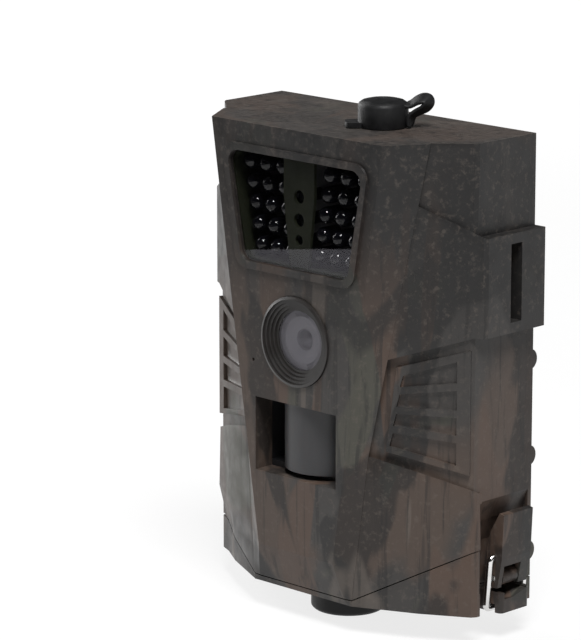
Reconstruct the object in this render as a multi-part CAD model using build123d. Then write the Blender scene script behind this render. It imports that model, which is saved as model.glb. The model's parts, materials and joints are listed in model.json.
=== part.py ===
from build123d import *
import math
import os

# Trail camera, millimetres.
# Everything is modelled in case coordinates: X to the right, Y back from the front face,
# Z up from the underside of the bottom door. place() then moves the origin to the mouth
# of the tripod thread in the foot.

# Case envelope
HEIGHT = 130.0
DEPTH = 43.2
WALL_X = 48.0
FACE_TOP_HALF = 32.2
FACE_BOTTOM_HALF = 14.25
CHIN_Z = 11.8
CHIN_FOOT = (16.7, 2.9)
CREASE_BOTTOM = (18.6, 2.84)
CREASE_CHEEK = (23.3, 4.6)
CREASE_TOP = (39.1, 11.2)
SIDE_TOP_Y = 20.1
SIDE_LOW_Y = 19.0
EDGE_CHAMFER = 0.7
WALL = 2.2
FRONT_WALL = 2.4
TOP_WALL = 2.4
REAR_SPLIT_Y = 40.4

# Raised band, strap ears and cheeks
BAND_X = 51.4
BAND_Y = 20.2
BAND_TOP_Z = 104.8
BAND_LOW_Z = 77.6
BAND_FRONT_TOP_Z = 113.0
BAND_FRONT_LOW_Z = 70.3
EAR_DEPTH = 43.6
CHEEK_X = 49.6
CHEEK_Y = 18.9
CHEEK_BACK_Y = 21.0
CHEEK_LEDGE_FRONT_Z = 43.1
CHEEK_LEDGE_BACK_Z = 35.7
CHEEK_BULGE = 0.9
SLOT_Y = (29.9, 34.3)
SLOT_Z = (80.5, 102.0)
SLOT_REAR_X = (41.7, 46.1)
SLOT_BLOCK_X = 37.4

# Side louvres: one tilted frame with four blind openings
LOUVRE_TILT = 26.0
LOUVRE_CENTRE = (37.0, 13.5, 53.5)
LOUVRE_FRAME = [(-11.7, -9.0), (11.8, -13.7), (11.8, 20.6), (-8.8, 14.6)]
LOUVRE_FRAME_DEPTH = 4.0
LOUVRE_OPEN_DEPTH = 1.5
LOUVRE_FRONT_EDGE = (-10.7, -7.0)
LOUVRE_REAR_EDGE = 8.1
LOUVRE_SLATS = [(-8.5, -12.4), (-2.7, -4.0), (2.7, 3.0), (8.2, 10.5), (13.4, 18.4)]
LOUVRE_SLAT = 2.0

# Front openings
WINDOW_Z = (89.7, 124.1)
WINDOW_HALF = (22.1, 27.7)
WINDOW_LIP = 2.0
WINDOW_CORNER = 4.5
WINDOW_PROUD = 0.8
PANE_Y = (0.1, 1.1)
STRIP_Y = (1.4, 2.4)
STRIP_LOW_HALF = 3.4
STRIP_HIGH_HALF = 5.8
STRIP_KNEE_Z = 112.0
STRIP_HOLES = ((111.6, 1.9), (105.2, 1.9), (99.7, 1.4))
LENS_Z = 71.7
LENS_R = 12.7
LENS_COVER_R = 8.3
LENS_COVER_Y = (2.0, 2.8)
LENS_STEPS = 4
APERTURE_R = 3.0
BARREL_BACK_Y = 17.0
FILTER_Y = (18.2, 18.8)
FILTER_HALF = 3.6
PIR_HALF = 15.4
PIR_Z = (32.95, 53.8)
PIR_RECESS = 6.5
PIR_LENS_R = 12.0
PIR_LENS_FRONT_Y = 1.0
PIR_BACK_Y = 15.5
PIR_SENSOR_R = 4.6
SLEEVE_WALL = 1.6
MIC = (-16.2, 64.1)

# Infrared emitters: two fans of three columns and five rows
LED_ROW_Z = (95.7, 101.5, 107.2, 112.9, 118.4)
LED_LOW_X = (5.3, 11.2, 17.1)
LED_HIGH_X = (8.9, 15.3, 21.6)
LED_R = 2.3
LED_TIP_Y = 2.6
LED_BOARD_Y = 9.5

# Bottom door, hinged on the left side, latched on the right
PARTING_FRONT = (18.75, 1.5)
PARTING_RIGHT_Z = 18.4
PARTING_LEFT = (45.0, 9.5)
PARTING_LATCH_Z = 6.3
PARTING_GAP = 0.3
DOOR_FLOOR = 1.5
HINGE_X = -46.4
HINGE_Z = 8.2
HINGE_R = 1.8
HINGE_PIN_R = 0.8
HINGE_Y = (21.6, 40.0)
HINGE_KNUCKLE_Y = (27.2, 34.8)

# Draw latch
POCKET_X = 43.5
POCKET_Y = (21.0, 41.8)
POCKET_TOP_Z = 31.5
POCKET_SLOPE_Z = 19.0
LEVER_PIVOT = (48.4, 9.0)
BAIL_PIVOT = (48.6, 15.0)
BAIL_BAR = (47.3, 0.6)
LEVER_Y = (27.3, 39.2)
LEVER_CHEEK = 2.0
LEVER_WALL = 2.2
LEVER_FACE = [(50.2, 6.6), (51.7, 15.0), (52.3, 27.6)]
LEVER_BACK = [(50.7, 27.9), (47.3, 21.9), (46.3, 17.4), (46.2, 13.5), (47.6, 6.4)]
LEVER_NOTCH_Z = 12.7
WIRE_R = 1.0
BAIL_BEND_R = 1.15
BAIL_Y = (26.1, 40.5)
LUG_Y = (29.3, 35.2)
LUG_R = 2.2
HOOK_X = 51.5
HOOK_LIP = 2.2
HOOK_Y = (27.4, 39.0)
HOOK_Z = (-0.4, 5.4)
HOOK_CORNER_R = 1.3
HOOK_NOTCH = [(28.8, 3.5), (32.0, 3.4), (37.8, 5.0)]

# Foot with the tripod thread
FOOT_Y = 21.3
FOOT_R = 10.5
FOOT_HEIGHT = 8.0
THREAD_R = 2.6
THREAD_LENGTH = 9.0
NUT_R = 4.6

# Top socket and its rubber plug
PLUG = (12.25, 21.35)
PLUG_R = 6.9
PLUG_HEIGHT = 7.6
PLUG_TAB_ANGLE = 228.0
PLUG_TAB_HALF = 3.2
PLUG_TAB_REACH = 10.3
TETHER_ANGLE = 18.0
TETHER = [(0.45, 5.7), (3.8, 9.1), (6.4, 7.2), (4.2, 3.4), (0.9, 1.2)]
TETHER_SIZE = (4.4, 0.9)
SOCKET_HOLE_R = 4.0
SOCKET_BORE_R = 2.9

# Batteries
CELL_R = 7.1
CELL_LENGTH = 49.0
CELL_PITCH = 15.0
CELL_Y = 31.4
CELL_Z = 2.6
TRAY_Z = (3.4, 60.0)
TRAY_HALF = 31.4
TRAY_Y = (23.2, 39.9)
TRAY_ROOF = 1.4

# Control deck behind the door
DECK_Z = 20.0
DECK_THICK = 2.0
DECK_X = (-45.0, 40.9)
DECK_BACK_Y = 21.8
CONTROL_Y = 16.3
BUTTON_X = (13.5, 19.0, 24.5, 30.0)
BUTTON_R = 1.8
DISPLAY_X = (-16.5, 8.5)
DISPLAY_Y = (8.4, 17.6)
SWITCH_X = -24.0
CARD_X = (-15.0, 6.0)
CARD_Y = (19.2, 20.6)
CARD_DEPTH = 26.0
CARD_PLAY = 0.4
USB_X = (-38.0, -30.0)
USB_Y = (17.8, 20.8)

# Shell screws, and ribs across the back
SCREWS = ((-43.0, 21.5), (39.3, 21.5), (-43.0, 54.0), (43.0, 54.0), (-43.0, 117.0), (43.0, 117.0))
SCREW_R = 1.2
SCREW_HEAD_R = 2.4
SCREW_TIP_Y = 30.0
BOSS_R = 3.0
RIB_Z = (13.5, 40.5, 67.5, 94.5)
RIB_R = 2.9
RIB_HALF = 47.3


def mix(a, b, t):
    return a + (b - a) * t


def mix2(p, q, t):
    return mix(p[0], q[0], t), mix(p[1], q[1], t)


def solid(shape):
    """One closed solid from a boolean result."""
    found = shape.solids()
    return found[0] if len(found) == 1 else Compound(found)


def extruded(points, vector):
    face = Face(Wire.make_polygon([Vector(*p) for p in points], close=True))
    return Solid.extrude(face, Vector(*vector))


def prism_x(points, x0, x1):
    return extruded([(x0, y, z) for y, z in points], (x1 - x0, 0, 0))


def prism_y(points, y0, y1):
    return extruded([(x, y0, z) for x, z in points], (0, y1 - y0, 0))


def prism_z(points, z0, z1):
    return extruded([(x, y, z0) for x, y in points], (0, 0, z1 - z0))


def block(x, y, z):
    return Pos(sum(x) / 2, sum(y) / 2, sum(z) / 2) * Box(x[1] - x[0], y[1] - y[0], z[1] - z[0])


def grown(span, margin):
    return span[0] - margin, span[1] + margin


def rod_y(r, x, z, y0, y1):
    return Solid.make_cylinder(r, y1 - y0, Plane(origin=(x, y0, z), z_dir=(0, 1, 0)))


def rod_z(r, x, y, z0, z1):
    return Solid.make_cylinder(r, z1 - z0, Plane(origin=(x, y, z0), z_dir=(0, 0, 1)))


def turned_y(profile, x, z):
    """Revolve (radius, y) points about an axis along Y through x, z."""
    face = Face(Wire.make_polygon([Vector(r, y, 0) for r, y in profile], close=True))
    return Pos(x, 0, z) * Solid.revolve(face, 360, Axis.Y)


def turned_z(profile, x, y):
    """Revolve (radius, z) points about an axis along Z through x, y."""
    face = Face(Wire.make_polygon([Vector(r, 0, z) for r, z in profile], close=True))
    return Pos(x, y, 0) * Solid.revolve(face, 360, Axis.Z)


def rounded_prism_y(points, radius, y0, y1):
    face = Face(Wire.make_polygon([Vector(x, y0, z) for x, z in points], close=True))
    face = face.fillet_2d(radius, face.vertices())
    return Solid.extrude(face, Vector(0, y1 - y0, 0))


def both_sides(shape):
    return shape + mirror(shape, about=Plane.YZ)


def lofted(sections):
    """Ruled solid through horizontal polygons given as (z, points)."""
    wires = [Wire.make_polygon([Vector(x, y, z) for x, y in pts], close=True) for z, pts in sections]
    return Solid.make_loft(wires, ruled=True)


def whole(half):
    """Close a right-hand outline with its mirror image."""
    return half + [(-x, y) for x, y in reversed(half)]


def front_corner(z):
    if z <= CHIN_Z:
        return mix2(CHIN_FOOT, (FACE_BOTTOM_HALF, 0), z / CHIN_Z)
    return mix(FACE_BOTTOM_HALF, FACE_TOP_HALF, (z - CHIN_Z) / (HEIGHT - CHIN_Z)), 0.0


def crease(z):
    if z <= CHEEK_LEDGE_FRONT_Z:
        return mix2(CREASE_BOTTOM, CREASE_CHEEK, z / CHEEK_LEDGE_FRONT_Z)
    return mix2(CREASE_CHEEK, CREASE_TOP, (z - CHEEK_LEDGE_FRONT_Z) / (HEIGHT - CHEEK_LEDGE_FRONT_Z))


def recess_depth(z):
    """How far the sunk flank lies under the raised band and cheek."""
    if z >= BAND_TOP_Z:
        return mix(1.4, 0.8, (z - BAND_TOP_Z) / (HEIGHT - BAND_TOP_Z))
    return mix(2.3, 1.4, max(0.0, z - 75.0) / (BAND_TOP_Z - 75.0))


def side_y(z):
    return mix(SIDE_LOW_Y, SIDE_TOP_Y, max(0.0, z - 75.0) / (HEIGHT - 75.0))


def sunk_crease(z, extra=0.0):
    depth = (recess_depth(z) + extra) * math.sqrt(0.5)
    x, y = crease(z)
    return x - depth, y + depth


def corner(x, y, size):
    """Two points that chamfer the side corner of an outline."""
    return [(x - size, y - size * 0.6), (x, y + size)]


CORE_LEVELS = (0.0, CHIN_Z, CHEEK_LEDGE_FRONT_Z, 75.0, BAND_TOP_Z, HEIGHT)


def core_outline(z):
    half = [front_corner(z), crease(z), sunk_crease(z)]
    return whole(half + corner(WALL_X, side_y(z), EDGE_CHAMFER) + [(WALL_X, DEPTH)])


def cavity_outline(z):
    front = front_corner(z)
    half = [(front[0] - 1.2, front[1] + FRONT_WALL), sunk_crease(z, WALL)]
    return whole(half + [(WALL_X - WALL, side_y(z) + 1.3), (WALL_X - WALL, DEPTH + 5)])


def core():
    return lofted([(z, core_outline(z)) for z in CORE_LEVELS])


def cavity():
    top = HEIGHT - TOP_WALL
    levels = [z for z in CORE_LEVELS if z < top] + [top]
    levels[0] = DOOR_FLOOR
    return lofted([(z, cavity_outline(z)) for z in levels])


def band():
    """Raised band that runs across each flank and becomes the strap ear."""
    sections = []
    for z in (60.0, 120.0):
        x, y = crease(z)
        start = (x - 0.03, y + 0.05)
        outline = [start] + corner(BAND_X, BAND_Y, 0.8)
        outline += [(BAND_X, EAR_DEPTH), (40.0, EAR_DEPTH), (x - 3, y + 12)]
        sections.append((z, outline))
    side = [(-2, BAND_FRONT_LOW_Z - 5), (crease(BAND_FRONT_LOW_Z)[1], BAND_FRONT_LOW_Z)]
    side += [(BAND_Y - 1.7, BAND_LOW_Z), (EAR_DEPTH + 1, BAND_LOW_Z), (EAR_DEPTH + 1, BAND_TOP_Z)]
    side += [(BAND_Y, BAND_TOP_Z), (crease(BAND_FRONT_TOP_Z)[1], BAND_FRONT_TOP_Z), (-2, 119)]
    return lofted(sections) & prism_x(side, 0, 60)


def cheek(left):
    """Raised cheek below the louvres. On the hinge side its foot is pulled in."""
    sections = []
    for z in (0.0, PARTING_LEFT[1], PARTING_RIGHT_Z, CHEEK_LEDGE_BACK_Z, CHEEK_LEDGE_FRONT_Z + 1):
        x, y = crease(z)
        start = (x - 0.03, y + 0.05)
        if left and z < PARTING_RIGHT_Z:
            back, size = (47.8, 19.6), 2.0
        else:
            back, size = (CHEEK_X - max(0, z - PARTING_RIGHT_Z) * 0.03, CHEEK_Y), 0.9
        middle = mix2(start, back, 0.55)
        bulge = (middle[0] + 0.47 * CHEEK_BULGE, middle[1] - 0.88 * CHEEK_BULGE)
        outline = [start, bulge] + corner(*back, size)
        outline += [(back[0], CHEEK_BACK_Y + 0.8), (44.0, CHEEK_BACK_Y + 3), (x - 3, y + 9)]
        sections.append((z, outline))
    side = [(-2, -1), (30, -1), (30, 34), (CHEEK_BACK_Y + 0.5, CHEEK_LEDGE_BACK_Z - 1.5)]
    side += [(18.35, CHEEK_LEDGE_BACK_Z), (4.6, CHEEK_LEDGE_FRONT_Z), (-2, CHEEK_LEDGE_FRONT_Z)]
    return lofted(sections) & prism_x(side, 0, 60)


def envelope():
    body = core() + both_sides(band())
    body = body + cheek(left=False)
    return body + mirror(cheek(left=True), about=Plane.YZ)


def door_zone(gap=0.0):
    """Space below the parting line: the bottom door's share of the case."""
    x, z = PARTING_FRONT
    lx, lz = PARTING_LEFT
    slope = (PARTING_RIGHT_Z - z) / (CHEEK_X - x)
    right_z = z + slope * (60 - x)
    line = [(-60, lz), (-lx, lz), (-x, z), (x, z), (60, right_z)]
    zone = prism_y([(px, pz + gap) for px, pz in line] + [(60, -20), (-60, -20)], -10, 60)
    latch_x = x + (PARTING_LATCH_Z - z) / slope
    step = block((latch_x, 70), (POCKET_Y[0] - PARTING_GAP + gap, 70), (PARTING_LATCH_Z + gap, 60))
    return zone - step


def latch_pocket():
    profile = [(70, -30), (POCKET_X, -30), (POCKET_X, POCKET_SLOPE_Z), (WALL_X, POCKET_TOP_Z)]
    profile += [(70, POCKET_TOP_Z)]
    return prism_y(profile, *POCKET_Y)


def louvre_plane():
    """Plane of the sunk flank: local x runs back along it, local y up, z outwards."""
    angle = math.radians(LOUVRE_TILT)
    return Plane(
        origin=LOUVRE_CENTRE,
        x_dir=(math.cos(angle), math.sin(angle), 0),
        z_dir=(math.sin(angle), -math.cos(angle), 0),
    )


def louvre_prism(points, low, high):
    plane = louvre_plane()
    corners = [plane.from_local_coords(Vector(x, y, low)) for x, y in points]
    face = Face(Wire.make_polygon(corners, close=True))
    return Solid.extrude(face, plane.z_dir * (high - low))


def louvre_frame():
    """Raised frame with four blind openings between slats that fan out to the front."""
    frame = louvre_prism(LOUVRE_FRAME, -LOUVRE_FRAME_DEPTH, 0.9)
    front_low, front_high = LOUVRE_FRONT_EDGE
    z_low, z_high = LOUVRE_SLATS[0][0], LOUVRE_SLATS[-1][0]
    for (z0, r0), (z1, r1) in zip(LOUVRE_SLATS, LOUVRE_SLATS[1:]):
        x0 = mix(front_low, front_high, (z0 - z_low) / (z_high - z_low))
        x1 = mix(front_low, front_high, (z1 - z_low) / (z_high - z_low))
        opening = [(x0, z0 + LOUVRE_SLAT / 2), (LOUVRE_REAR_EDGE, r0 + LOUVRE_SLAT / 2)]
        opening += [(LOUVRE_REAR_EDGE, r1 - LOUVRE_SLAT / 2), (x1, z1 - LOUVRE_SLAT / 2)]
        frame = frame - louvre_prism(opening, 0.9 - LOUVRE_OPEN_DEPTH, 3.0)
    return frame


def place(shape):
    return Pos(0, -FOOT_Y, FOOT_HEIGHT) * shape


def strap_channels():
    side = block((SLOT_REAR_X[0], 60), SLOT_Y, SLOT_Z)
    rear = block(SLOT_REAR_X, (SLOT_Y[0], 60), SLOT_Z)
    return both_sides(side + rear)


def window_outline(inset):
    z0, z1 = WINDOW_Z
    half0, half1 = WINDOW_HALF
    low, high = half0 - inset, half1 - inset
    return [(-low, z0 + inset), (low, z0 + inset), (high, z1 - inset), (-high, z1 - inset)]


def shell_screw(x, z):
    """Countersunk shell screw driven from behind, with a cross recess."""
    shank = rod_y(SCREW_R, x, z, SCREW_TIP_Y, DEPTH - 1.0)
    y0, y1 = DEPTH - 2.2, DEPTH - 0.4
    head = turned_y([(0, y0), (SCREW_R, y0), (SCREW_HEAD_R, y1), (0, y1)], x, z)
    recess = block((x - 1.5, x + 1.5), (DEPTH - 1.1, DEPTH), (z - 0.3, z + 0.3))
    recess = recess + block((x - 0.3, x + 0.3), (DEPTH - 1.1, DEPTH), (z - 1.5, z + 1.5))
    return shank + head - recess


def make_front_case(body):
    shell = body - cavity()
    lining = POCKET_X - WALL
    pocket_wall = prism_y(
        [(lining, PARTING_LATCH_Z), (POCKET_X, PARTING_LATCH_Z), (POCKET_X, POCKET_SLOPE_Z),
         (WALL_X - 1, POCKET_TOP_Z - 2), (WALL_X - 1, POCKET_TOP_Z + 2.4), (lining, POCKET_SLOPE_Z)],
        POCKET_Y[0] - WALL, DEPTH)
    front_y = (POCKET_Y[0] - WALL, POCKET_Y[0])
    pocket_front = block((lining, WALL_X - 0.5), front_y, (PARTING_LATCH_Z, POCKET_TOP_Z))
    slot_z = (SLOT_Z[0] - WALL, SLOT_Z[1] + WALL)
    slot_block = block((SLOT_BLOCK_X, WALL_X), (SLOT_Y[0] - WALL, DEPTH), slot_z)
    shell = shell + pocket_wall + pocket_front + both_sides(slot_block)
    shell = shell & block((-60, 60), (-10, REAR_SPLIT_Y), (-5, 140))
    half = PIR_HALF + SLEEVE_WALL
    sleeve_z = (PIR_Z[0] - SLEEVE_WALL, PIR_Z[1] + SLEEVE_WALL)
    sleeve = block((-half, half), (1.5, PIR_RECESS), sleeve_z)
    bosses = [rod_y(BOSS_R, x, z, SCREW_TIP_Y - 1.5, REAR_SPLIT_Y) for x, z in SCREWS]
    louvre = louvre_frame()
    lip = rounded_prism_y(window_outline(0), WINDOW_CORNER, -WINDOW_PROUD, FRONT_WALL - 0.5)
    for piece in [sleeve, lip, louvre, mirror(louvre, about=Plane.YZ)] + bosses:
        shell = shell + piece
    shell = shell - rounded_prism_y(window_outline(WINDOW_LIP), WINDOW_CORNER - 1.0, -5, 6)
    shell = shell - block((-PIR_HALF, PIR_HALF), (-2, 12), PIR_Z)
    shell = shell - rod_y(LENS_R, 0, LENS_Z, -2, 6)
    shell = shell - rod_y(0.5, MIC[0], MIC[1], -2, 6)
    shell = shell - rod_z(SOCKET_HOLE_R, PLUG[0], PLUG[1], HEIGHT - 6, HEIGHT + 2)
    for x, z in SCREWS:
        shell = shell - rod_y(SCREW_R, x, z, SCREW_TIP_Y, REAR_SPLIT_Y)
    shell = shell - latch_pocket() - strap_channels() - door_zone(PARTING_GAP)
    px, pz = LEVER_PIVOT
    web = block((POCKET_X - 1, px), LUG_Y, (pz - LUG_R + 0.4, pz + LUG_R))
    lug = rod_y(LUG_R, px, pz, *LUG_Y) + web - rod_y(WIRE_R, px, pz, LUG_Y[0] - 1, LUG_Y[1] + 1)
    ky0, ky1 = HINGE_KNUCKLE_Y
    shell = shell - rod_y(HINGE_R + 0.3, HINGE_X, HINGE_Z, CHEEK_Y - 1, DEPTH + 1)
    knuckle = rod_y(HINGE_R, HINGE_X, HINGE_Z, ky0, ky1)
    arm_z = (HINGE_Z, PARTING_LEFT[1] + 3)
    knuckle = knuckle + block((HINGE_X - 1.6, HINGE_X + HINGE_R), (ky0, ky1), arm_z)
    knuckle = knuckle - rod_y(HINGE_PIN_R, HINGE_X, HINGE_Z, ky0 - 1, ky1 + 1)
    return shell + lug + knuckle


def make_rear_cover(body):
    plate = body & block((-60, 60), (REAR_SPLIT_Y, 60), (-5, 140))
    for z in RIB_Z:
        axis = Plane(origin=(-RIB_HALF, DEPTH - 0.4, z), z_dir=(1, 0, 0))
        rib = Solid.make_cylinder(RIB_R, 2 * RIB_HALF, axis)
        rib = rib & block((-60, 60), (DEPTH - 1.0, 60), (z - 5, z + 5))
        plate = plate + rib
    plate = plate - latch_pocket() - strap_channels() - door_zone(PARTING_GAP)
    for x, z in SCREWS:
        plate = plate - rod_y(SCREW_R + 0.2, x, z, REAR_SPLIT_Y - 1, DEPTH + 1)
        plate = plate - rod_y(SCREW_HEAD_R + 0.2, x, z, DEPTH - 2.2, DEPTH + 4)
    plate = plate - rod_y(HINGE_R + 0.3, HINGE_X, HINGE_Z, REAR_SPLIT_Y - 1, DEPTH + 1)
    return plate - seal_ring()


def seal_outline(inset):
    """Route of the case seal, inboard of the strap channels."""
    wide = WALL_X - 0.6 - inset
    narrow = SLOT_REAR_X[0] - 1.4 - inset
    high = HEIGHT - 0.6 - inset
    z0, z1 = SLOT_Z
    half = [(wide, high), (wide, z1 + 2.6 + inset), (narrow, z1 + 2.6 + inset)]
    half += [(narrow, z0 - 2.6 - inset), (wide, z0 - 2.6 - inset), (wide, POCKET_TOP_Z + 2.4 + inset)]
    half += [(narrow + 1.5, POCKET_TOP_Z + 2.4 + inset), (narrow + 1.5, PARTING_LEFT[1] + 1.5 + inset)]
    return half + [(-x, z) for x, z in reversed(half)]


def seal_ring():
    ring = prism_y(seal_outline(0.0), REAR_SPLIT_Y, REAR_SPLIT_Y + 0.7)
    return ring - prism_y(seal_outline(1.0), REAR_SPLIT_Y - 1, REAR_SPLIT_Y + 2)


def make_window_bezel():
    """Olive sleeve behind the pane, with the centre strip for the sensors."""
    outer, inner = window_outline(WINDOW_LIP + 0.05), window_outline(WINDOW_LIP + 0.5)
    bezel = rounded_prism_y(outer, WINDOW_CORNER - 1.05, PANE_Y[1], LED_BOARD_Y)
    bezel = bezel - rounded_prism_y(inner, WINDOW_CORNER - 2.0, PANE_Y[1] - 1, LED_BOARD_Y + 1)
    low, high = WINDOW_Z[0] + WINDOW_LIP + 0.4, WINDOW_Z[1] - WINDOW_LIP - 0.4
    strip = [(-STRIP_LOW_HALF, low), (STRIP_LOW_HALF, low), (STRIP_HIGH_HALF, STRIP_KNEE_Z)]
    strip += [(STRIP_HIGH_HALF, high), (-STRIP_HIGH_HALF, high), (-STRIP_HIGH_HALF, STRIP_KNEE_Z)]
    bezel = bezel + prism_y(strip, *STRIP_Y)
    for z, r in STRIP_HOLES:
        bezel = bezel - rod_y(r, 0, z, 0, 6)
    return bezel


def make_led(x, z):
    """Round emitter: flange, body and domed tip."""
    body = rod_y(LED_R, x, z, LED_TIP_Y + LED_R, LED_BOARD_Y)
    dome = Pos(x, LED_TIP_Y + LED_R, z) * Sphere(LED_R)
    return body + dome


def led_columns(z):
    t = (z - LED_ROW_Z[0]) / (LED_ROW_Z[-1] - LED_ROW_Z[0])
    return [mix(low, high, t) for low, high in zip(LED_LOW_X, LED_HIGH_X)]


def led_group(side):
    return Compound([make_led(side * x, z) for z in LED_ROW_Z for x in led_columns(z)])


def make_lens_bezel():
    """Stepped funnel round the lens cover."""
    front = [(LENS_R - 0.1, -0.6), (LENS_R - 0.9, -0.9)]
    step = (LENS_R - 0.9 - LENS_COVER_R) / LENS_STEPS
    depth = (LENS_COVER_Y[0] + 0.7) / LENS_STEPS
    radius, y = LENS_R - 0.9, -0.9
    for _ in range(LENS_STEPS):
        y += depth
        front.append((radius, y))
        radius -= step
        front.append((radius, y))
    back = [(LENS_COVER_R, LENS_COVER_Y[0]), (LENS_COVER_R + 0.5, LENS_COVER_Y[0])]
    back += [(LENS_COVER_R + 0.5, LENS_COVER_Y[1]), (LENS_COVER_R, LENS_COVER_Y[1]), (LENS_COVER_R, 5.5)]
    back += [(LENS_R + 1.2, 5.5), (LENS_R + 1.2, FRONT_WALL + 0.2), (LENS_R - 0.1, FRONT_WALL + 0.2)]
    return turned_y(front + back, 0, LENS_Z)


def make_lens_barrel():
    """Barrel with a shallow cone in front and the aperture in its middle."""
    y0, y1 = LENS_COVER_Y[1], BARREL_BACK_Y
    outer_r, bore_r, rim_r, stop_y = LENS_COVER_R - 0.1, 6.0, 6.6, 12.0
    profile = [(outer_r, y0), (outer_r, y1), (bore_r, y1), (bore_r, stop_y), (APERTURE_R, stop_y)]
    profile += [(APERTURE_R, y0 + 1.0), (APERTURE_R + 2.0, y0 + 0.4), (rim_r, y0 + 0.2), (rim_r, y0)]
    return turned_y(profile, 0, LENS_Z)


def make_lens_element():
    """First glass of the objective, gently domed."""
    y = LENS_COVER_Y[1]
    profile = [(0, y + 1.2), (1.6, y + 1.4), (APERTURE_R, y + 2.0), (APERTURE_R, y + 5), (0, y + 5)]
    return turned_y(profile, 0, LENS_Z)


def make_filter_frame():
    """Flat case behind the barrel in which the infrared filter slides."""
    z0, z1 = LENS_Z - 4.6, LENS_Z + 4.6
    frame = block((-11.5, 11.5), grown(FILTER_Y, 1.0), (z0, z1))
    frame = frame - block((-10.5, 10.5), grown(FILTER_Y, 0.2), (z0 + 0.8, z1 - 0.8))
    return frame - rod_y(APERTURE_R, 0, LENS_Z, *grown(FILTER_Y, 3.0))


def make_sensor_board():
    y = FILTER_Y[1] + 1.0
    board = block((-14, 14), (y + 1.2, y + 2.4), (LENS_Z - 11, LENS_Z + 11))
    chip = block((-4.5, 4.5), (y, y + 1.2), (LENS_Z - 4.5, LENS_Z + 4.5))
    return board + chip


def make_pir_lens():
    """Upright half cylinder of ribbed plastic behind the sensor window."""
    y = PIR_LENS_FRONT_Y + PIR_LENS_R
    z0, z1 = PIR_Z[0] + 1.6, PIR_Z[1] - 0.2
    tube = rod_z(PIR_LENS_R, 0, y, z0, z1) - rod_z(PIR_LENS_R - 0.6, 0, y, z0 - 1, z1 + 1)
    tube = tube & block((-20, 20), (0, y), (z0, z1))
    feet = block((-PIR_LENS_R, -PIR_LENS_R + 0.6), (y, PIR_BACK_Y), (z0, z1))
    feet = feet + block((PIR_LENS_R - 0.6, PIR_LENS_R), (y, PIR_BACK_Y), (z0, z1))
    return tube + feet


def make_pir_holder():
    """Dark tray that closes the sensor recess and carries the lens and the sensor."""
    half = PIR_HALF + SLEEVE_WALL
    z0, z1 = PIR_Z[0] - SLEEVE_WALL, PIR_Z[1] + SLEEVE_WALL
    holder = block((-half, half), (PIR_RECESS, PIR_BACK_Y + 1.4), (z0, z1))
    holder = holder - block((-half + 1.2, half - 1.2), (PIR_RECESS - 1, PIR_BACK_Y), (z0 + 1.2, z1 - 1.2))
    ledge = block((-half + 1.2, half - 1.2), (PIR_RECESS, PIR_BACK_Y), (z0 + 1.2, PIR_Z[0] + 1.6))
    holder = holder + ledge
    return holder - rod_y(PIR_SENSOR_R, 0, sum(PIR_Z) / 2, PIR_BACK_Y - 1, PIR_BACK_Y + 3)


def make_pir_sensor():
    z = sum(PIR_Z) / 2
    can = rod_y(PIR_SENSOR_R, 0, z, PIR_BACK_Y - 2.8, PIR_BACK_Y + 1.4)
    return can - block((-1.5, 1.5), (PIR_BACK_Y - 4, PIR_BACK_Y - 2.5), (z - 2, z + 2))


def cell_places():
    return [(i - 1.5) * CELL_PITCH for i in range(4)]


def make_battery_tray():
    """Open-bottomed tray for a row of four upright cells."""
    z1 = DECK_Z + DECK_THICK
    flange_y = (TRAY_Y[0] - 1.2, TRAY_Y[1])
    tray = block((-TRAY_HALF, TRAY_HALF), TRAY_Y, TRAY_Z)
    tray = tray + block((-TRAY_HALF - 1.5, TRAY_HALF + 1.5), flange_y, (z1, z1 + 1.2))
    for x in cell_places():
        tray = tray - rod_z(CELL_R + 0.25, x, CELL_Y, TRAY_Z[0] - 1, TRAY_Z[1] - TRAY_ROOF)
    return tray


def make_cell(x):
    z1 = CELL_Z + CELL_LENGTH
    wrap = rod_z(CELL_R, x, CELL_Y, CELL_Z, z1)
    return wrap + rod_z(2.6, x, CELL_Y, z1, z1 + 1.4)


def make_contact_spring(x):
    """Cone of flat turns that presses on a cell."""
    z = CELL_Z + CELL_LENGTH + 1.6
    turns = None
    for i, r in enumerate((3.2, 4.2, 5.2)):
        ring = rod_z(r, x, CELL_Y, z + 1.5 * i, z + 1.5 * i + 1.5)
        ring = ring - rod_z(r - 1.2, x, CELL_Y, z + 1.5 * i - 1, z + 1.5 * i + 3)
        turns = ring if turns is None else turns + ring
    top = z + 4.5
    plate = rod_z(5.6, x, CELL_Y, top, TRAY_Z[1] - TRAY_ROOF)
    plate = plate - rod_z(4.0, x, CELL_Y, top - 1, TRAY_Z[1])
    return turns + plate


def make_contact_plate(x):
    """Strip on the door that joins two neighbouring cells."""
    return block((x - 13.0, x + 13.0), (CELL_Y - 5, CELL_Y + 5), (DOOR_FLOOR, DOOR_FLOOR + 0.5))


def make_control_panel():
    """Deck that closes the case above the door and carries the controls."""
    z0, z1 = DECK_Z, DECK_Z + DECK_THICK
    through = (z0 - 1, z1 + 1)
    deck = cavity() & block(DECK_X, (-5, DECK_BACK_Y), (z0, z1))
    for x in BUTTON_X:
        deck = deck - rod_z(BUTTON_R + 0.3, x, CONTROL_Y, *through)
    deck = deck - block(DISPLAY_X, DISPLAY_Y, through)
    deck = deck - block(grown((SWITCH_X, SWITCH_X), 3.8), grown((CONTROL_Y, CONTROL_Y), 1.3), through)
    deck = deck - block(grown(CARD_X, CARD_PLAY), grown(CARD_Y, CARD_PLAY), through)
    return deck - block(USB_X, USB_Y, through)


def make_button(x):
    z0, z1 = DECK_Z - 1.2, DECK_Z + DECK_THICK + 0.3
    return rod_z(BUTTON_R, x, CONTROL_Y, z0, z1) + rod_z(BUTTON_R + 0.8, x, CONTROL_Y, z1, z1 + 0.8)


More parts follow.
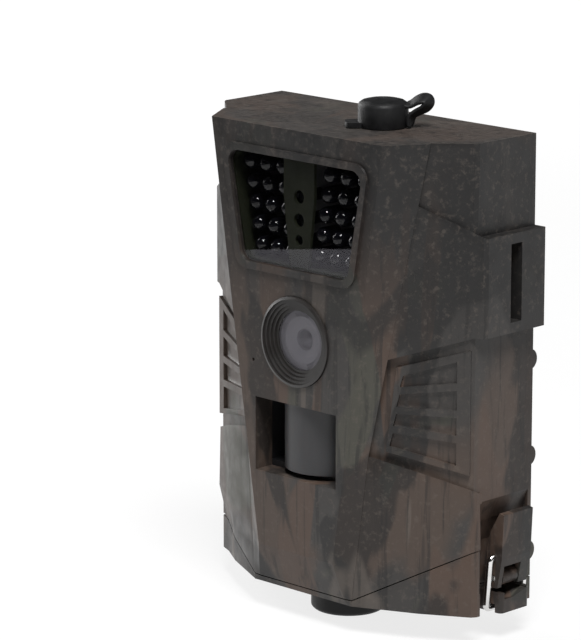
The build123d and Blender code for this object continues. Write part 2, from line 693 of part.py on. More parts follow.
def make_mode_switch():
    """Slider with a knob below the deck and a wider foot above it."""
    x, y = (SWITCH_X, SWITCH_X), (CONTROL_Y, CONTROL_Y)
    z0, z1 = DECK_Z - 1.6, DECK_Z + DECK_THICK + 0.4
    knob = block(grown(x, 1.5), grown(y, 1.0), (z0, z1))
    return knob + block(grown(x, 2.2), grown(y, 2.0), (z1, z1 + 1.0))


def make_sd_card():
    x1, top = CARD_X[1], DECK_Z + CARD_DEPTH
    card = block(CARD_X, CARD_Y, (DECK_Z - 2.0, top))
    cut_corner = [(x1 - 3, top + 1), (x1 + 1, top + 1), (x1 + 1, top - 3)]
    return card - prism_y(cut_corner, CARD_Y[0] - 1, CARD_Y[1] + 1)


def make_sd_socket():
    """Metal sleeve over the card."""
    z0, z1 = DECK_Z + DECK_THICK, DECK_Z + CARD_DEPTH + 2.5
    socket = block(grown(CARD_X, 1.4), grown(CARD_Y, 0.9), (z0, z1))
    return socket - block(grown(CARD_X, CARD_PLAY), grown(CARD_Y, 0.3), (z0 - 1, z1 - 0.8))


def make_usb_socket():
    middle = sum(USB_Y) / 2
    shell = block(grown(USB_X, -0.2), grown(USB_Y, -0.2), (DECK_Z, DECK_Z + 7))
    hollow = block(grown(USB_X, -0.6), grown(USB_Y, -0.6), (DECK_Z - 1, DECK_Z + 6))
    tongue = block(grown(USB_X, -1.6), (middle - 0.35, middle + 0.35), (DECK_Z + 0.6, DECK_Z + 7))
    return shell - hollow + tongue


def make_bottom_door(body):
    door = (body - cavity()) & door_zone()
    rear = body & block((-60, 60), (DEPTH - WALL, DEPTH), (-1, 30)) & door_zone()
    door = door + rear - latch_pocket()
    wall = block((POCKET_X - WALL, POCKET_X), (POCKET_Y[0] - WALL, DEPTH), (0.5, PARTING_LATCH_Z))
    door = door + wall
    left_edge = block((-60, HINGE_X), (CHEEK_Y - 2, 60), (HINGE_Z, 20))
    door = door - (left_edge - rod_y(HINGE_R, HINGE_X, HINGE_Z, 0, 60))
    y0, y1 = HINGE_Y
    ky0, ky1 = HINGE_KNUCKLE_Y[0] - 0.3, HINGE_KNUCKLE_Y[1] + 0.3
    knuckles = rod_y(HINGE_R, HINGE_X, HINGE_Z, y0 - 0.6, y1 + 0.2)
    door = door + knuckles
    door = door - block((-60, HINGE_X + HINGE_R + 0.5), (ky0, ky1), (HINGE_Z - HINGE_R - 0.4, 20))
    door = door - rod_y(HINGE_PIN_R + 0.05, HINGE_X, HINGE_Z, y0 - 0.2, y1 + 0.1)
    return door + make_hook() - rod_z(NUT_R, 0, FOOT_Y, -1, 4)


def make_hook():
    """Catch on the door's edge: a groove for the bail underneath, a notch for the lever on top."""
    hook = block((POCKET_X - 1.0, HOOK_X), HOOK_Y, HOOK_Z)
    hook = fillet(hook.edges().filter_by(Axis.Z).group_by(Axis.X)[-1], HOOK_CORNER_R)
    groove_x = (BAIL_BAR[0] - 1.7, HOOK_X - HOOK_LIP)
    hook = hook - block(groove_x, (0, 60), (-5, BAIL_BAR[1] + WIRE_R + 0.35))
    notch = HOOK_NOTCH + [(HOOK_NOTCH[-1][0], 20), (HOOK_NOTCH[0][0], 20)]
    return hook - prism_x(notch, groove_x[0] - 0.8, 60)


def make_latch_lever():
    """Lever with two cheeks, an outer face that leans out, and a notch for the lug."""
    y0, y1 = LEVER_Y
    lever = prism_y(LEVER_FACE + LEVER_BACK, y0, y1)
    (low_x, _), (mid_x, mid_z), (top_x, top_z) = LEVER_FACE
    hollow = [(low_x - LEVER_WALL, 0), (mid_x - LEVER_WALL, mid_z), (top_x - LEVER_WALL, top_z - 3.0)]
    hollow += [(40, top_z - 3.0), (40, 0)]
    lever = lever - prism_y(hollow, y0 + LEVER_CHEEK, y1 - LEVER_CHEEK)
    lever = lever - block((40, 60), grown(LUG_Y, 0.4), (0, LEVER_NOTCH_Z))
    for x, z in (LEVER_PIVOT, BAIL_PIVOT):
        lever = lever - rod_y(WIRE_R + 0.05, x, z, y0 - 1, y1 + 1)
    return lever


def make_latch_bail():
    """Bent wire: two ends in the lever, two arms and a bar under the hook."""
    (px, pz), (bx, bz) = BAIL_PIVOT, BAIL_BAR
    y0, y1 = BAIL_Y
    end0, end1 = grown(LEVER_Y, 0.1 - LEVER_CHEEK)
    corners = [(px, y0, pz), (bx, y0, bz), (bx, y1, bz), (px, y1, pz)]
    path = FilletPolyline((px, end0, pz), *corners, (px, end1, pz), radius=BAIL_BEND_R)
    section = Plane(origin=path @ 0, z_dir=path % 0) * Circle(WIRE_R)
    return sweep(section, path=path)


def make_top_plug():
    """Rubber cap with a slightly domed top, a lifting tab and a stem that fills the socket."""
    x, y = PLUG
    z = HEIGHT + 0.2
    top = z + PLUG_HEIGHT
    profile = [(0, z), (PLUG_R, z), (PLUG_R, top - 2.0), (PLUG_R - 0.35, top - 1.2)]
    profile += [(PLUG_R - 1.2, top - 0.6), (PLUG_R - 2.6, top - 0.25), (0, top)]
    cap = turned_z(profile, x, y)
    stem = rod_z(SOCKET_BORE_R - 0.5, x, y, z - 5.5, z + 1)
    tab = block((PLUG_R - 3.0, PLUG_TAB_REACH), (-PLUG_TAB_HALF, PLUG_TAB_HALF), (0, 1.4))
    tab = fillet(tab.edges().filter_by(Axis.Z).group_by(Axis.X)[-1], 1.6)
    return cap + stem + Pos(x, y, z) * (Rot(0, 0, PLUG_TAB_ANGLE) * tab)


def make_plug_tether():
    """Strap that loops from the side of the cap down to an anchor on the case."""
    points = [(PLUG_R + r, 0, z) for r, z in TETHER]
    path = FilletPolyline(*points, radius=1.5)
    width, thickness = TETHER_SIZE
    section = Plane(origin=path @ 0, z_dir=path % 0, x_dir=(0, 1, 0)) * Rectangle(width, thickness)
    strap = sweep(section, path=path)
    anchor = block((PLUG_R + 0.6, PLUG_R + 4.4), (-width / 2, width / 2), (0, 1.4))
    return Pos(PLUG[0], PLUG[1], HEIGHT) * (Rot(0, 0, TETHER_ANGLE) * (strap + anchor))


def make_power_socket():
    x, y = PLUG
    z1 = HEIGHT
    profile = [(SOCKET_BORE_R, z1), (SOCKET_HOLE_R, z1), (SOCKET_HOLE_R, z1 - TOP_WALL)]
    profile += [(SOCKET_HOLE_R + 1.5, z1 - TOP_WALL), (SOCKET_HOLE_R + 1.5, z1 - 13), (0, z1 - 13)]
    profile += [(0, z1 - 11.5), (SOCKET_BORE_R, z1 - 11.5)]
    return turned_z(profile, x, y)


def make_tripod_foot():
    profile = [(NUT_R, -FOOT_HEIGHT), (FOOT_R - 0.8, -FOOT_HEIGHT), (FOOT_R, -FOOT_HEIGHT + 0.8)]
    profile += [(FOOT_R, 0), (NUT_R, 0)]
    return turned_z(profile, 0, FOOT_Y)


def make_tripod_nut():
    z1 = THREAD_LENGTH - FOOT_HEIGHT
    profile = [(THREAD_R, -FOOT_HEIGHT), (NUT_R, -FOOT_HEIGHT), (NUT_R, z1), (THREAD_R, z1)]
    return turned_z(profile, 0, FOOT_Y)


def build():
    body = envelope()
    parts = {}
    parts["front_case"] = make_front_case(body)
    parts["rear_cover"] = make_rear_cover(body)
    parts["bottom_door"] = make_bottom_door(body)
    parts["case_seal"] = seal_ring() - strap_channels()
    parts["shell_screws"] = Compound([shell_screw(x, z) for x, z in SCREWS])
    pane = rounded_prism_y(window_outline(WINDOW_LIP + 0.05), WINDOW_CORNER - 1.05, *PANE_Y)
    parts["window_pane"] = pane
    parts["window_bezel"] = make_window_bezel()
    board = rounded_prism_y(window_outline(1.2), 3.0, LED_BOARD_Y, LED_BOARD_Y + 1.6)
    parts["led_board"] = board
    parts["infrared_leds_left"] = led_group(-1)
    parts["infrared_leds_right"] = led_group(1)
    parts["status_lights"] = Compound([rod_y(r - 0.2, 0, z, 3.0, LED_BOARD_Y) for z, r in STRIP_HOLES])
    parts["lens_bezel"] = make_lens_bezel()
    parts["lens_cover"] = rod_y(LENS_COVER_R + 0.45, 0, LENS_Z, *LENS_COVER_Y)
    parts["lens_barrel"] = make_lens_barrel()
    parts["lens_element"] = make_lens_element()
    parts["filter_frame"] = make_filter_frame()
    filter_z = (LENS_Z - FILTER_HALF, LENS_Z + FILTER_HALF)
    parts["ir_cut_filter"] = block((-FILTER_HALF, FILTER_HALF), FILTER_Y, filter_z)
    parts["sensor_board"] = make_sensor_board()
    parts["pir_lens"] = make_pir_lens()
    parts["pir_holder"] = make_pir_holder()
    parts["pir_sensor"] = make_pir_sensor()
    parts["microphone"] = rod_y(2.0, MIC[0], MIC[1], FRONT_WALL, FRONT_WALL + 2.2)
    parts["main_board"] = block((-34, 34), (24.0, 25.6), (64, 115))
    parts["battery_tray"] = make_battery_tray()
    parts["battery_cells"] = Compound([make_cell(x) for x in cell_places()])
    parts["contact_springs"] = Compound([make_contact_spring(x) for x in cell_places()])
    parts["contact_plates"] = Compound([make_contact_plate(x) for x in (-CELL_PITCH, CELL_PITCH)])
    parts["control_panel"] = make_control_panel()
    parts["display"] = block(DISPLAY_X, DISPLAY_Y, (DECK_Z + 0.4, DECK_Z + 3.0))
    for name, x in zip(("menu_button", "up_button", "down_button", "ok_button"), BUTTON_X):
        parts[name] = make_button(x)
    parts["mode_switch"] = make_mode_switch()
    parts["sd_card"] = make_sd_card()
    parts["sd_socket"] = make_sd_socket()
    parts["usb_socket"] = make_usb_socket()
    tray_x = (-TRAY_HALF, TRAY_HALF)
    seal = block(tray_x, TRAY_Y, (DOOR_FLOOR, TRAY_Z[0] - 0.4))
    parts["door_seal"] = seal - block(grown(tray_x, -0.9), grown(TRAY_Y, -0.9), (0, 10))
    parts["hinge_pin"] = rod_y(HINGE_PIN_R, HINGE_X, HINGE_Z, *HINGE_Y)
    parts["latch_pin"] = rod_y(WIRE_R, *LEVER_PIVOT, *grown(LEVER_Y, -0.1))
    parts["latch_lever"] = make_latch_lever()
    parts["latch_bail"] = make_latch_bail()
    parts["top_plug"] = make_top_plug()
    parts["plug_tether"] = make_plug_tether()
    parts["power_socket"] = make_power_socket()
    parts["tripod_foot"] = make_tripod_foot()
    parts["tripod_nut"] = make_tripod_nut()
    return parts


if __name__ == "__main__":
    os.makedirs("parts", exist_ok=True)
    for name, shape in build().items():
        export_step(place(solid(shape)), f"parts/{name}.step")
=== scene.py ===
import json
import math

import bmesh
import bpy
from mathutils import Matrix, Vector


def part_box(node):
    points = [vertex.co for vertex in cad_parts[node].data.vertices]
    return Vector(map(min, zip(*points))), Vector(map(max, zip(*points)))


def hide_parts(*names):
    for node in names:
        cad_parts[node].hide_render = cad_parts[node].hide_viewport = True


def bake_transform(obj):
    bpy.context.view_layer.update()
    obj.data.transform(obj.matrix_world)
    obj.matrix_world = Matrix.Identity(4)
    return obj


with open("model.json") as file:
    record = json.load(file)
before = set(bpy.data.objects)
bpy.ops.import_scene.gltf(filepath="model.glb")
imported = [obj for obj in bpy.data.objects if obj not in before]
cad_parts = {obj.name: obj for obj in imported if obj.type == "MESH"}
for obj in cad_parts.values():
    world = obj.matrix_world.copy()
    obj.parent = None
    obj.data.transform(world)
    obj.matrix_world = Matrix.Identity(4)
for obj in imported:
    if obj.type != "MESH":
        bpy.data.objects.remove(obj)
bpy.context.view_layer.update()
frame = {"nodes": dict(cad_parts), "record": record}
nodes = frame["nodes"]
MM = 0.001


# ---------------------------------------------------------------- node helpers

class Graph:
    """A short way to write a material's nodes."""

    def __init__(self, name):
        self.material = bpy.data.materials.new(name)
        self.material.use_nodes = True
        self.tree = self.material.node_tree
        self.shader = self.tree.nodes["Principled BSDF"]
        self.output = self.tree.nodes["Material Output"]
        coords = self.tree.nodes.new("ShaderNodeTexCoord")
        self.coords = coords.outputs["Object"]

    def node(self, kind, **settings):
        made = self.tree.nodes.new(kind)
        for key, value in settings.items():
            setattr(made, key, value)
        return made

    def link(self, source, target):
        self.tree.links.new(source, target)

    def scaled(self, scale, rotation=(0, 0, 0), source=None):
        mapping = self.node("ShaderNodeMapping")
        mapping.inputs["Scale"].default_value = scale
        mapping.inputs["Rotation"].default_value = rotation
        self.link(source or self.coords, mapping.inputs["Vector"])
        return mapping.outputs[0]

    def noise(self, vector, scale, detail=3.0, rough=0.5, distortion=0.0, kind="FBM"):
        made = self.node("ShaderNodeTexNoise", noise_type=kind)
        self.link(vector, made.inputs["Vector"])
        made.inputs["Scale"].default_value = scale
        made.inputs["Detail"].default_value = detail
        made.inputs["Roughness"].default_value = rough
        made.inputs["Distortion"].default_value = distortion
        return made.outputs["Fac"]

    def ramp(self, value, stops, interpolation="LINEAR"):
        made = self.node("ShaderNodeValToRGB")
        made.color_ramp.interpolation = interpolation
        elements = made.color_ramp.elements
        while len(elements) < len(stops):
            elements.new(0.5)
        for element, (place, colour) in zip(elements, stops):
            element.position = place
            element.color = (*colour, 1.0) if len(colour) == 3 else colour
        self.link(value, made.inputs["Fac"])
        return made.outputs["Color"]

    def fade(self, value, low, high, out_low=0.0, out_high=1.0):
        made = self.node("ShaderNodeMapRange", interpolation_type="SMOOTHSTEP")
        self.link(value, made.inputs["Value"])
        for key, number in (("From Min", low), ("From Max", high), ("To Min", out_low), ("To Max", out_high)):
            made.inputs[key].default_value = number
        return made.outputs["Result"]

    def math(self, operation, a, b):
        made = self.node("ShaderNodeMath", operation=operation)
        for slot, value in zip(made.inputs, (a, b)):
            if isinstance(value, (int, float)):
                slot.default_value = value
            else:
                self.link(value, slot)
        return made.outputs[0]

    def mix(self, factor, a, b, blend="MIX"):
        made = self.node("ShaderNodeMix", data_type="RGBA", blend_type=blend)
        for slot, value in ((made.inputs[0], factor), (made.inputs[6], a), (made.inputs[7], b)):
            if isinstance(value, (int, float)):
                slot.default_value = value
            elif isinstance(value, tuple):
                slot.default_value = (*value, 1.0)
            else:
                self.link(value, slot)
        return made.outputs[2]

    def bump(self, height, strength, distance):
        made = self.node("ShaderNodeBump")
        made.inputs["Strength"].default_value = strength
        made.inputs["Distance"].default_value = distance
        self.link(height, made.inputs["Height"])
        self.link(made.outputs["Normal"], self.shader.inputs["Normal"])

    def set(self, **values):
        for key, value in values.items():
            self.shader.inputs[key.replace("_", " ")].default_value = value


def feed(graph, socket, value):
    graph.link(value, graph.shader.inputs[socket])


# ---------------------------------------------------------------- materials

def camo_material():
    """Moulded plastic printed with bark, shadow and leaf shapes, over a fine spark-eroded grain; painted
    shade darkens it towards the top, and a painted highlight lightens the top face.
    """
    g = Graph("camo_plastic")
    brown, grey, olive = (0.064, 0.047, 0.038), (0.040, 0.037, 0.035), (0.054, 0.052, 0.042)
    rust, dark, tan = (0.072, 0.049, 0.038), (0.013, 0.0125, 0.0125), (0.120, 0.100, 0.085)
    leaning = g.scaled((1.0, 1.0, 0.55), (0.0, 0.45, 0.0))
    tone = g.mix(g.fade(g.noise(leaning, 19.0, 3.0, 0.5, 0.8), 0.45, 0.50), brown, grey)
    leaves = g.noise(g.scaled((1.0, 1.0, 0.6), (0.2, -0.6, 0.3)), 27.0, 2.0, 0.5, 1.8)
    tone = g.mix(g.fade(leaves, 0.55, 0.59), tone, olive)
    stems = g.noise(g.scaled((1.0, 1.0, 0.22), (0.1, 0.50, 0.2)), 44.0, 2.0, 0.5, 0.8)
    tone = g.mix(g.fade(stems, 0.57, 0.60), tone, rust)
    shadows = g.noise(g.scaled((1.0, 1.0, 0.45), (0.4, 0.35, -0.3)), 24.0, 3.0, 0.55, 1.2)
    tone = g.mix(g.fade(shadows, 0.52, 0.56, 0.0, 0.75), tone, dark)
    twigs = g.noise(g.scaled((1.0, 1.0, 0.13), (0.05, -0.45, 0.1)), 60.0, 2.0, 0.5, 0.6)
    tone = g.mix(g.fade(twigs, 0.62, 0.65, 0.0, 0.5), tone, tan)
    # Painted shade: the camo is darkened towards the upper part of the case, from 70 mm to 118 mm up. The top
    # face is left out of it.
    height = g.node("ShaderNodeSeparateXYZ")
    g.link(g.coords, height.inputs[0])
    painted_shade_upward = g.fade(height.outputs["Z"], 0.070, 0.118, 0.0, 0.86)
    walls = g.fade(height.outputs["Z"], 0.1378, 0.1384, 1.0, 0.0)
    tone = g.mix(g.math("MULTIPLY", painted_shade_upward, walls), tone, dark)
    # Painted highlight: the top face is mixed towards a pale tan, so it reads lighter than the sides.
    tone = g.mix(g.fade(walls, 0.0, 1.0, 0.65, 0.0), tone, (0.170, 0.145, 0.128))
    bark_space = g.scaled((1.0, 1.0, 0.07), (0.08, 0.12, 0.0))
    bark = g.noise(bark_space, 330.0, 4.0, 0.65, 0.6)
    tone = g.mix(g.fade(bark, 0.34, 0.48, 0.55, 0.0), tone, dark)
    speckle = g.noise(g.coords, 520.0, 4.0, 0.7)
    tone = g.mix(g.fade(speckle, 0.50, 0.72, 0.0, 0.30), tone, tan)
    feed(g, "Base Color", tone)
    broad = g.noise(g.coords, 260.0, 3.0, 0.55)
    feed(g, "Roughness", g.fade(broad, 0.3, 0.7, 0.36, 0.50))
    g.set(Specular_IOR_Level=0.30)
    grain = g.noise(g.coords, 2100.0, 2.0, 0.6)
    g.bump(g.math("ADD", grain, g.math("MULTIPLY", bark, 0.5)), 0.22, 0.00007)
    return g.material


def plastic(name, colour, roughness=0.5, spread=0.25, grain=1800.0, bump=0.2, coat=0.0, shine=0.5):
    """Moulded plastic: mottled colour, uneven gloss and a fine grain."""
    g = Graph(name)
    mottle = g.noise(g.coords, 140.0, 4.0, 0.6)
    low = tuple(c * (1 - spread) for c in colour)
    high = tuple(min(1.0, c * (1 + spread)) for c in colour)
    feed(g, "Base Color", g.ramp(mottle, [(0.3, low), (0.7, high)]))
    feed(g, "Roughness", g.fade(g.noise(g.coords, 420.0, 3.0), 0.3, 0.7, roughness - 0.06, roughness + 0.08))
    g.set(Coat_Weight=coat, Coat_Roughness=0.12, Specular_IOR_Level=shine)
    g.bump(g.noise(g.coords, grain, 2.0, 0.6), bump, 0.00005)
    return g.material


def rubber(name, colour=(0.005, 0.005, 0.0055)):
    """Soft black rubber with a bloom of dust and a dull grain."""
    g = Graph(name)
    dust = g.noise(g.coords, 260.0, 5.0, 0.65)
    grey = tuple(c + 0.005 for c in colour)
    feed(g, "Base Color", g.ramp(dust, [(0.40, colour), (0.75, grey)]))
    feed(g, "Roughness", g.fade(dust, 0.3, 0.7, 0.45, 0.62))
    g.set(Specular_IOR_Level=0.28)
    g.bump(g.noise(g.coords, 3200.0, 2.0), 0.3, 0.00004)
    return g.material


def metal(name, colour, roughness=0.2, brush=None, scratches=0.1):
    """Plated or drawn metal with fine scratches; brush gives the drawing direction's scale."""
    g = Graph(name)
    space = g.scaled(brush or (1.0, 1.0, 1.0))
    lines = g.noise(space, 1500.0, 4.0, 0.7)
    cloud = g.noise(g.coords, 200.0, 3.0, 0.6)
    low = tuple(c * 0.78 for c in colour)
    feed(g, "Base Color", g.mix(g.fade(cloud, 0.35, 0.65), low, colour))
    feed(g, "Roughness", g.fade(lines, 0.25, 0.75, roughness, roughness + scratches))
    g.set(Metallic=1.0)
    g.bump(lines, 0.12, 0.00003)
    return g.material


def clear(name, shine, roughness=0.0):
    """Thin clear pane: mostly see-through, with a faint mirror reflection and smudges."""
    g = Graph(name)
    haze = g.noise(g.coords, 70.0, 4.0, 0.6, 0.6)
    feed(g, "Roughness", g.fade(haze, 0.45, 0.75, roughness, roughness + 0.02))
    dull = tuple(0.93 * c for c in shine)
    feed(g, "Base Color", g.ramp(haze, [(0.3, dull), (0.7, shine)]))
    feed(g, "Alpha", g.fade(haze, 0.3, 0.8, 0.13, 0.145))
    g.set(Metallic=1.0)
    return g.material


def glass(name, tint, ior=1.5):
    """Solid glass with a faint coating haze."""
    g = Graph(name)
    haze = g.noise(g.coords, 300.0, 3.0)
    feed(g, "Base Color", g.ramp(haze, [(0.3, tint), (0.7, tuple(c * 0.9 for c in tint))]))
    feed(g, "Roughness", g.fade(haze, 0.4, 0.7, 0.0, 0.03))
    g.set(Transmission_Weight=0.85, IOR=ior)
    return g.material


def board_material(name, mask, line):
    """Printed circuit board: solder mask over copper runs."""
    g = Graph(name)
    brick = g.node("ShaderNodeTexBrick")
    g.link(g.scaled((1.0, 0.001, 1.0), (math.pi / 2, 0, 0)), brick.inputs["Vector"])
    brick.inputs["Scale"].default_value = 260.0
    brick.inputs["Mortar Size"].default_value = 0.06
    brick.inputs["Color1"].default_value = (*mask, 1)
    brick.inputs["Color2"].default_value = (*tuple(c * 1.3 for c in mask), 1)
    brick.inputs["Mortar"].default_value = (*line, 1)
    cloud = g.noise(g.coords, 120.0, 3.0)
    feed(g, "Base Color", g.mix(g.fade(cloud, 0.3, 0.8, 0.0, 0.5), brick.outputs["Color"], mask))
    feed(g, "Roughness", g.fade(cloud, 0.3, 0.7, 0.3, 0.42))
    g.bump(brick.outputs["Fac"], 0.2, 0.00005)
    return g.material


def fresnel_lens_material():
    """Smoke-grey polyethylene of the motion sensor's lens."""
    g = Graph("sensor_lens")
    mottle = g.noise(g.scaled((1, 1, 0.3)), 160.0, 4.0, 0.6)
    feed(g, "Base Color", g.ramp(mottle, [(0.3, (0.022, 0.022, 0.024)), (0.7, (0.036, 0.035, 0.037))]))
    feed(g, "Roughness", g.fade(mottle, 0.3, 0.7, 0.40, 0.52))
    g.set(Subsurface_Weight=0.08, Subsurface_Scale=0.002)
    g.bump(g.noise(g.coords, 1500.0, 2.0), 0.15, 0.00004)
    return g.material


def led_material():
    """Smoked epoxy, dark and very glossy."""
    g = Graph("led_epoxy")
    depth = g.noise(g.coords, 500.0, 2.0)
    feed(g, "Base Color", g.ramp(depth, [(0.3, (0.002, 0.002, 0.003)), (0.7, (0.005, 0.005, 0.007))]))
    feed(g, "Roughness", g.fade(depth, 0.3, 0.7, 0.02, 0.05))
    g.set(Specular_IOR_Level=0.5)
    return g.material


def cell_material():
    """Wrapped cell: dark sleeve with a metallic copper-coloured shoulder band."""
    g = Graph("cell_wrap")
    split = g.node("ShaderNodeSeparateXYZ")
    g.link(g.coords, split.inputs[0])
    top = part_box("battery_cells")[1][2]
    band = g.fade(split.outputs["Z"], top - 0.0125, top - 0.0122)
    scuff = g.noise(g.coords, 220.0, 4.0, 0.6)
    sleeve = g.ramp(scuff, [(0.3, (0.014, 0.016, 0.018)), (0.75, (0.03, 0.032, 0.036))])
    feed(g, "Base Color", g.mix(band, sleeve, (0.55, 0.25, 0.10)))
    feed(g, "Metallic", g.fade(split.outputs["Z"], top - 0.0125, top - 0.0122, 0.0, 0.8))
    feed(g, "Roughness", g.fade(scuff, 0.3, 0.7, 0.25, 0.4))
    return g.material


materials = {
    "camo_case": camo_material(),
    "seal_rubber": rubber("seal_rubber", (0.02, 0.02, 0.02)),
    "black_rubber": rubber("black_rubber"),
    "screw_steel": metal("screw_steel", (0.16, 0.16, 0.17), 0.32),
    "clear_pane": clear("clear_pane", (0.185, 0.180, 0.200)),
    "olive_plastic": plastic("olive_plastic", (0.0125, 0.0145, 0.0080), 0.60, 0.2, shine=0.15),
    "black_board": board_material("black_board", (0.003, 0.003, 0.004), (0.006, 0.006, 0.007)),
    "led_epoxy": led_material(),
    "dark_bezel": plastic("dark_bezel", (0.020, 0.018, 0.017), 0.34, 0.15),
    "lens_glass": clear("lens_glass", (0.28, 0.27, 0.30), 0.02),
    "lens_grey": plastic("lens_grey", (0.085, 0.082, 0.092), 0.4, 0.1),
    "black_plastic": plastic("black_plastic", (0.014, 0.014, 0.015), 0.45, 0.2),
    "filter_glass": glass("filter_glass", (0.35, 0.62, 0.75)),
    "green_board": board_material("green_board", (0.010, 0.075, 0.028), (0.02, 0.12, 0.05)),
    "pir_plastic": fresnel_lens_material(),
    "steel_can": metal("steel_can", (0.55, 0.55, 0.56), 0.28),
    "cell_wrap": cell_material(),
    "spring_steel": metal("spring_steel", (0.66, 0.65, 0.62), 0.25),
    "display_glass": plastic("display_glass", (0.008, 0.010, 0.012), 0.08, 0.1, 900.0, 0.02, 0.5),
    "grey_button": plastic("grey_button", (0.11, 0.11, 0.115), 0.5),
    "card_plastic": plastic("card_plastic", (0.012, 0.012, 0.03), 0.4),
    "bright_steel": metal("bright_steel", (0.80, 0.79, 0.78), 0.10, None, 0.08),
    "nut_brass": metal("nut_brass", (0.62, 0.44, 0.18), 0.25),
}

for part in frame["record"]["subparts"]:
    obj = nodes[part["node"]]
    obj.data.materials.clear()
    obj.data.materials.append(materials[part["material_slot"]])


def mesh_object(name, shape, material, smooth=False):
    mesh = bpy.data.meshes.new(name)
    shape.to_mesh(mesh)
    shape.free()
    mesh.polygons.foreach_set("use_smooth", [smooth] * len(mesh.polygons))
    mesh.materials.append(material)
    made = bpy.data.objects.new(name, mesh)
    bpy.context.scene.collection.objects.link(made)
    return made


# ---------------------------------------------------------------- CAD surfaces

def soften(obj, width, angle=28.0, segments=2):
    """Round a CAD node's edges with modifiers; its own mesh is left as it is."""
    weld = obj.modifiers.new("weld", "WELD")
    weld.merge_threshold = 2e-6
    bevel = obj.modifiers.new("edge", "BEVEL")
    bevel.width = width
    bevel.segments = segments
    bevel.limit_method = "ANGLE"
    bevel.angle_limit = math.radians(angle)
    bevel.use_clamp_overlap = True
    bevel.harden_normals = False


EDGE_WIDTH = {
    "front_case": 0.35, "rear_cover": 0.4, "bottom_door": 0.35, "latch_lever": 0.35,
    "tripod_foot": 0.3, "control_panel": 0.2, "battery_tray": 0.2, "mode_switch": 0.15,
    "sd_card": 0.12, "display": 0.2, "top_plug": 0.35,
}
for name, width in EDGE_WIDTH.items():
    soften(nodes[name], width * MM)


# ---------------------------------------------------------------- plug tether

def rounded_section(width, thickness, count=20):
    """Closed outline of a strap: a flat oval with soft corners."""
    outline = []
    for i in range(count):
        a = 2 * math.pi * i / count
        c, s = math.cos(a), math.sin(a)
        x = width / 2 * math.copysign(abs(c) ** 0.35, c)
        y = thickness / 2 * math.copysign(abs(s) ** 0.55, s)
        outline.append((x, y))
    return outline


def smooth_path(points, steps):
    """Catmull-Rom curve through the points."""
    pts = [Vector(p) for p in points]
    pts = [2 * pts[0] - pts[1]] + pts + [2 * pts[-1] - pts[-2]]
    path = []
    for a, b, c, d in zip(pts, pts[1:], pts[2:], pts[3:]):
        for i in range(steps):
            t = i / steps
            path.append(0.5 * (2 * b + (c - a) * t + (2 * a - 5 * b + 4 * c - d) * t ** 2
                               + (3 * b - a - 3 * c + d) * t ** 3))
    return path + [pts[-2]]


PLUG_RADIUS = 6.9
TETHER_WIDTH, TETHER_THICKNESS = 4.4, 1.1
TETHER_ROLL, TETHER_HEADING = 30.0, 30.0
TETHER_ROUTE = [
    (-0.6, 6.2), (0.8, 6.5), (2.4, 7.5), (4.0, 8.1), (5.3, 7.9),
    (5.6, 6.8), (4.6, 5.4), (2.6, 4.3), (1.0, 3.0), (0.6, 0.5),
]


def make_tether():
    """Rubber strap that loops from the cap's side down to a small anchor on the case."""
    low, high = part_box("plug_tether")
    cap_low, cap_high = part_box("power_socket")
    centre = Vector(((cap_low[0] + cap_high[0]) / 2, (cap_low[1] + cap_high[1]) / 2, low[2]))
    path = smooth_path([((PLUG_RADIUS + r) * MM, 0.0, z * MM) for r, z in TETHER_ROUTE], 8)
    shape = bmesh.new()
    rings = []
    for i, point in enumerate(path):
        ahead = (path[min(i + 1, len(path) - 1)] - path[max(i - 1, 0)]).normalized()
        t = i / (len(path) - 1)
        roll = Matrix.Rotation(math.radians(TETHER_ROLL * math.sin(math.pi * t) ** 0.5), 3, ahead)
        side = roll @ Vector((0, 1, 0))
        normal = ahead.cross(side).normalized()
        section = rounded_section(TETHER_WIDTH * MM, TETHER_THICKNESS * MM)
        rings.append([shape.verts.new(point + side * x + normal * y) for x, y in section])
    for a, b in zip(rings, rings[1:]):
        for i in range(len(a)):
            k = (i + 1) % len(a)
            shape.faces.new((a[i], a[k], b[k], b[i]))
    shape.faces.new(rings[0][::-1])
    shape.faces.new(rings[-1])
    bmesh.ops.recalc_face_normals(shape, faces=shape.faces)
    heading = Matrix.Rotation(math.radians(TETHER_HEADING), 4, "Z")
    shape.transform(Matrix.Translation(centre) @ heading)
    strap = mesh_object("tether_strap", shape, materials["black_rubber"], smooth=True)
    strap.data.polygons[-1].use_smooth = False
    strap.data.polygons[-2].use_smooth = False
    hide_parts("plug_tether")
    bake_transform(strap)


make_tether()


# ---------------------------------------------------------------- stage, light and camera

VIEW_TURN = math.radians(43.65)


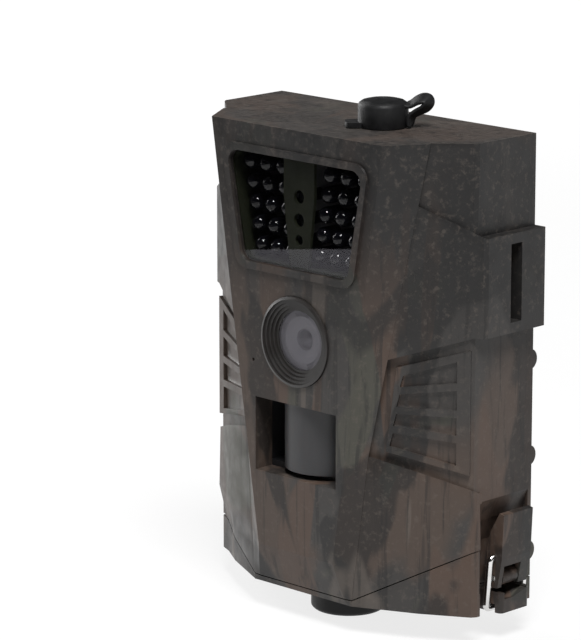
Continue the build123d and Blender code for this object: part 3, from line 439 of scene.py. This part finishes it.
def make_floor():
    """Pale seamless sweep: floor that curves up behind."""
    mesh = bpy.data.meshes.new("studio_floor")
    half, back, radius, steps = 3.0, 2.2, 0.8, 12
    line = [(-3.0, 0.0), (back, 0.0)]
    for i in range(1, steps + 1):
        a = i / steps * math.pi / 2
        line.append((back + radius * math.sin(a), radius * (1 - math.cos(a))))
    line.append((back + radius, 3.0))
    turn = Matrix.Rotation(VIEW_TURN, 4, "Z")
    corners = [turn @ Vector((x, y, z)) for y, z in line for x in (-half, half)]
    faces = [(2 * i, 2 * i + 1, 2 * i + 3, 2 * i + 2) for i in range(len(line) - 1)]
    mesh.from_pydata(corners, [], faces)
    mesh.polygons.foreach_set("use_smooth", [True] * len(faces))
    floor = bpy.data.objects.new("studio_floor", mesh)
    bpy.context.scene.collection.objects.link(floor)
    g = Graph("studio_paper")
    cloud = g.noise(g.coords, 3.0, 4.0)
    feed(g, "Base Color", g.ramp(cloud, [(0.3, (0.13, 0.13, 0.13)), (0.7, (0.15, 0.15, 0.15))]))
    distance = g.node("ShaderNodeVectorMath", operation="LENGTH")
    g.link(g.coords, distance.inputs[0])
    g.shader.inputs["Emission Color"].default_value = (1.0, 1.0, 1.0, 1.0)
    feed(g, "Emission Strength", g.fade(distance.outputs["Value"], 0.3, 1.3, 0.80, 0.95))
    g.set(Roughness=0.9)
    mesh.materials.append(g.material)


def unseen_flag(flag):
    """A black card that darkens reflections and bounced light, and is not itself in the picture."""
    flag.visible_camera = False
    flag.visible_transmission = False
    flag.visible_shadow = False
    flag.visible_volume_scatter = False


def make_flags():
    """A dark half dome in front, and a dark card on the floor where the white paper ends on the left."""
    g = Graph("flag_cloth")
    weave = g.noise(g.coords, 400.0, 2.0)
    feed(g, "Base Color", g.ramp(weave, [(0.3, (0.004, 0.004, 0.004)), (0.7, (0.008, 0.008, 0.008))]))
    g.set(Roughness=1.0, Specular_IOR_Level=0.0)
    shape = bmesh.new()
    bmesh.ops.create_uvsphere(shape, u_segments=48, v_segments=24, radius=2.4)
    below = [v for v in shape.verts if v.co.z < 0.02]
    bmesh.ops.delete(shape, geom=below, context="VERTS")
    dome = mesh_object("front_flag", shape, g.material)
    unseen_flag(dome)
    turn = Matrix.Rotation(VIEW_TURN, 4, "Z")
    corners = [(-0.50, -2.4), (-2.4, -2.4), (-2.4, 2.4), (-0.50, 2.4)]
    card = bmesh.new()
    card.faces.new([card.verts.new(turn @ Vector((x, y, 0.002))) for x, y in corners])
    unseen_flag(mesh_object("left_flag", card, g.material))


def area_light(name, place, size, power, colour=(1, 1, 1)):
    data = bpy.data.lights.new(name, "AREA")
    data.shape = "RECTANGLE"
    data.size, data.size_y = size
    data.energy = power
    data.color = colour
    lamp = bpy.data.objects.new(name, data)
    lamp.location = place
    aim = Vector((0, 0, 0.07)) - Vector(place)
    lamp.rotation_euler = aim.to_track_quat("-Z", "Y").to_euler()
    bpy.context.scene.collection.objects.link(lamp)


def make_camera():
    """Long lens from the front right, a little above, aimed just beside the case's middle."""
    data = bpy.data.cameras.new("camera")
    data.sensor_width = 36.0
    data.lens = 212.83
    data.clip_start = 0.05
    camera = bpy.data.objects.new("camera", data)
    camera.location = (0.70315, -0.73336, 0.31838)
    ahead = Vector((-0.68530, 0.69220, -0.22634))
    camera.rotation_euler = ahead.to_track_quat("-Z", "Y").to_euler()
    bpy.context.scene.collection.objects.link(camera)
    bpy.context.scene.camera = camera


make_floor()
make_flags()
area_light("left_softbox", (-1.15, -0.10, 0.50), (0.9, 0.9), 14)
area_light("key_softbox", (0.50, -0.36, 1.18), (0.5, 0.5), 24)
world = bpy.data.worlds.new("studio")
world.use_nodes = True
world.node_tree.nodes["Background"].inputs["Color"].default_value = (1.0, 1.0, 1.0, 1.0)
world.node_tree.nodes["Background"].inputs["Strength"].default_value = 0.35
bpy.context.scene.world = world
bpy.context.scene.view_settings.view_transform = "Standard"
make_camera()
